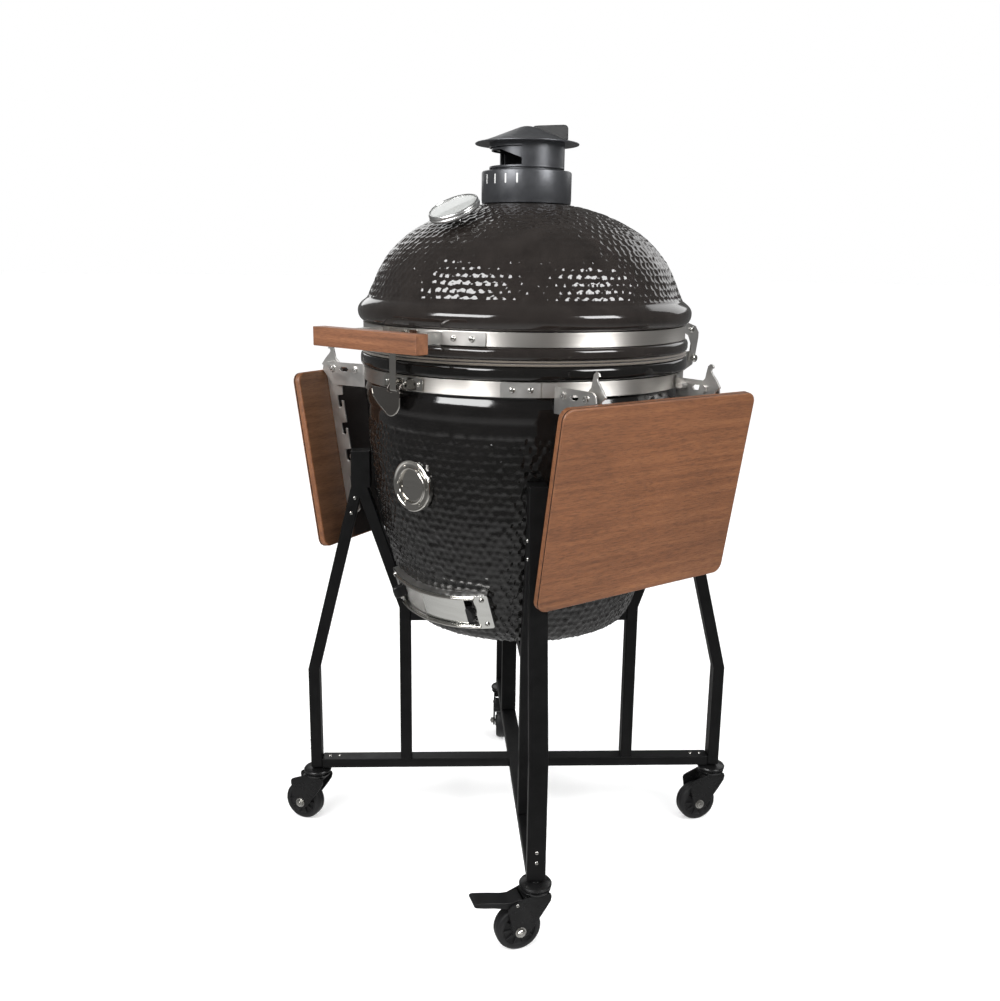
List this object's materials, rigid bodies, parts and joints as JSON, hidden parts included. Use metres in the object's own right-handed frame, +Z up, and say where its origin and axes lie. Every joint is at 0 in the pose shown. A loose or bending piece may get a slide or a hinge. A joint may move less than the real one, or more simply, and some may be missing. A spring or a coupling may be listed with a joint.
{
  "type": "kamado ceramic grill",
  "caption": "Charcoal grill of hollow ceramic: domed lid on a sprung rear hinge, draft door, top vent, fold-down side shelves, on a tube stand with locking casters.",
  "frame": {"origin": "on the floor, under the middle of the footprint box", "axes": "+Z up; -Y is the front, where the handle, latch and draft door are; the side shelves are at +X and -X"},
  "size_m": [0.7956, 0.7336, 1.3014],
  "materials": {
    "glazed_ceramic": "dark grey-brown gloss glaze over a dimpled texture",
    "raw_ceramic": "unglazed firebrick",
    "cast_iron": "bare cast iron",
    "felt": "pale woven felt gasket",
    "wood": "reddish-brown hardwood, oiled",
    "vent_coat": "satin dark grey coating on cast aluminium",
    "black_coat": "black satin powder coat",
    "wheel_plastic": "black moulded wheel",
    "black_plastic": "black moulded plastic",
    "polished_steel": "polished steel",
    "needle_paint": "red pointer paint",
    "lens": "clear flat lens",
    "stainless": "brushed stainless steel"
  },
  "bodies": {
    "base": {"bowl": "glazed_ceramic", "firebox": "raw_ceramic", "fire_ring": "raw_ceramic", "charcoal_grate": "cast_iron", "cooking_grate": "stainless", "base_gasket": "felt", "lower_band": "stainless", "hinge_lower_bracket": "stainless", "hinge_pin": "stainless", "hinge_spring_right": "stainless", "hinge_spring_left": "stainless", "latch_base": "polished_steel", "badge_ring": "polished_steel", "badge_disc": "polished_steel", "draft_frame": "stainless", "leg_front_right": "black_coat", "leg_front_left": "black_coat", "leg_rear_right": "black_coat", "leg_rear_left": "black_coat", "lower_cross": "black_coat", "upper_cross": "black_coat", "shelf_bracket_right_rear": "stainless", "shelf_bracket_right_front": "stainless", "shelf_bracket_left_front": "stainless", "shelf_bracket_left_rear": "stainless"},
    "lid": {"dome": "glazed_ceramic", "lid_gasket": "felt", "upper_band": "stainless", "handle_bar": "wood", "handle_bracket_left": "stainless", "handle_bracket_right": "stainless", "hinge_upper_bracket": "stainless", "latch_keeper": "polished_steel", "thermometer_case": "stainless", "thermometer_lens": "lens", "vent_base": "vent_coat"},
    "vent_cap": {"vent_cap": "vent_coat"},
    "thermometer_needle": {"thermometer_needle": "needle_paint"},
    "latch_lever": {"latch_lever": "polished_steel"},
    "latch_hook": {"latch_hook": "polished_steel"},
    "draft_door": {"draft_door": "stainless", "draft_door_knob": "black_plastic"},
    "draft_screen": {"draft_screen": "stainless", "draft_screen_knob": "black_plastic"},
    "shelf_left": {"shelf_board_left": "wood", "shelf_arm_left_front": "stainless", "shelf_arm_left_rear": "stainless"},
    "shelf_right": {"shelf_board_right": "wood", "shelf_arm_right_front": "stainless", "shelf_arm_right_rear": "stainless"},
    "fork_front_right": {"caster_fork_front_right": "black_coat"},
    "wheel_front_right": {"caster_wheel_front_right": "wheel_plastic"},
    "fork_front_left": {"caster_fork_front_left": "black_coat"},
    "wheel_front_left": {"caster_wheel_front_left": "wheel_plastic"},
    "fork_rear_right": {"caster_fork_rear_right": "black_coat"},
    "wheel_rear_right": {"caster_wheel_rear_right": "wheel_plastic"},
    "fork_rear_left": {"caster_fork_rear_left": "black_coat"},
    "wheel_rear_left": {"caster_wheel_rear_left": "wheel_plastic"},
    "brake_front_right": {"brake_pedal_front_right": "black_plastic"},
    "brake_rear_left": {"brake_pedal_rear_left": "black_plastic"}
  },
  "joints": [
    {"name": "lid_hinge", "type": "hinge", "parent": "base", "child": "lid", "pos_m": [0, 0.349, 0.897], "axis": [-1, 0, 0], "range_deg": [0, 75]},
    {"name": "vent_turn", "type": "hinge", "parent": "lid", "child": "vent_cap", "pos_m": [0, 0.009, 1.25], "axis": [0, 0, 1], "range_deg": [-40, 140]},
    {"name": "needle_turn", "type": "hinge", "parent": "lid", "child": "thermometer_needle", "pos_m": [0, -0.16944, 1.15773], "axis": [0, 0.486, -0.874], "range_deg": [0, 250]},
    {"name": "latch_lever_turn", "type": "hinge", "parent": "base", "child": "latch_lever", "pos_m": [-0.0085, -0.288, 0.883], "axis": [-1, 0, 0], "range_deg": [0, 75]},
    {"name": "latch_hook_swing", "type": "hinge", "parent": "latch_lever", "child": "latch_hook", "pos_m": [-0.0085, -0.294, 0.876], "axis": [-1, 0, 0], "range_deg": [-75, 0]},
    {"name": "draft_door_slide", "type": "hinge", "parent": "base", "child": "draft_door", "pos_m": [0, -0.0173, 0.5703], "axis": [0, -0.3267, 0.9451], "range_deg": [-17, 0]},
    {"name": "draft_screen_slide", "type": "hinge", "parent": "base", "child": "draft_screen", "pos_m": [0, -0.0173, 0.5703], "axis": [0, -0.3267, 0.9451], "range_deg": [0, 17]},
    {"name": "shelf_fold_right", "type": "hinge", "parent": "base", "child": "shelf_right", "pos_m": [0.32047, -0.06087, 0.88], "axis": [-0.213, -0.977, 0], "range_deg": [0, 99.4]},
    {"name": "shelf_fold_left", "type": "hinge", "parent": "base", "child": "shelf_left", "pos_m": [-0.32047, -0.06087, 0.88], "axis": [-0.213, 0.977, 0], "range_deg": [0, 99.4]},
    {"name": "swivel_front_right", "type": "hinge", "parent": "base", "child": "fork_front_right", "pos_m": [0.27697, -0.26129, 0.1], "axis": [0, 0, 1], "continuous": true},
    {"name": "roll_front_right", "type": "hinge", "parent": "fork_front_right", "child": "wheel_front_right", "pos_m": [0.26197, -0.28727, 0.0375], "axis": [0.866, -0.5, 0], "continuous": true},
    {"name": "brake_press_front_right", "type": "hinge", "parent": "fork_front_right", "child": "brake_front_right", "pos_m": [0.25897, -0.29246, 0.087], "axis": [0.866, -0.5, 0], "range_deg": [0, 10]},
    {"name": "swivel_front_left", "type": "hinge", "parent": "base", "child": "fork_front_left", "pos_m": [-0.27697, -0.26129, 0.1], "axis": [0, 0, 1], "continuous": true},
    {"name": "roll_front_left", "type": "hinge", "parent": "fork_front_left", "child": "wheel_front_left", "pos_m": [-0.30507, -0.27179, 0.0375], "axis": [0.3502, -0.9367, 0], "continuous": true},
    {"name": "swivel_rear_right", "type": "hinge", "parent": "base", "child": "fork_rear_right", "pos_m": [0.27697, 0.27929, 0.1], "axis": [0, 0, 1], "continuous": true},
    {"name": "roll_rear_right", "type": "hinge", "parent": "fork_rear_right", "child": "wheel_rear_right", "pos_m": [0.26108, 0.25384, 0.0375], "axis": [0.848, -0.5299, 0], "continuous": true},
    {"name": "swivel_rear_left", "type": "hinge", "parent": "base", "child": "fork_rear_left", "pos_m": [-0.27697, 0.27929, 0.1], "axis": [0, 0, 1], "continuous": true},
    {"name": "roll_rear_left", "type": "hinge", "parent": "fork_rear_left", "child": "wheel_rear_left", "pos_m": [-0.25769, 0.25631, 0.0375], "axis": [0.766, 0.6428, 0], "continuous": true},
    {"name": "brake_press_rear_left", "type": "hinge", "parent": "fork_rear_left", "child": "brake_rear_left", "pos_m": [-0.25383, 0.25171, 0.087], "axis": [0.766, 0.6428, 0], "range_deg": [0, 10]}
  ],
  "couplings": [
    {"joint": "latch_hook_swing", "follows": "latch_lever_turn", "ratio": -1}
  ]
}
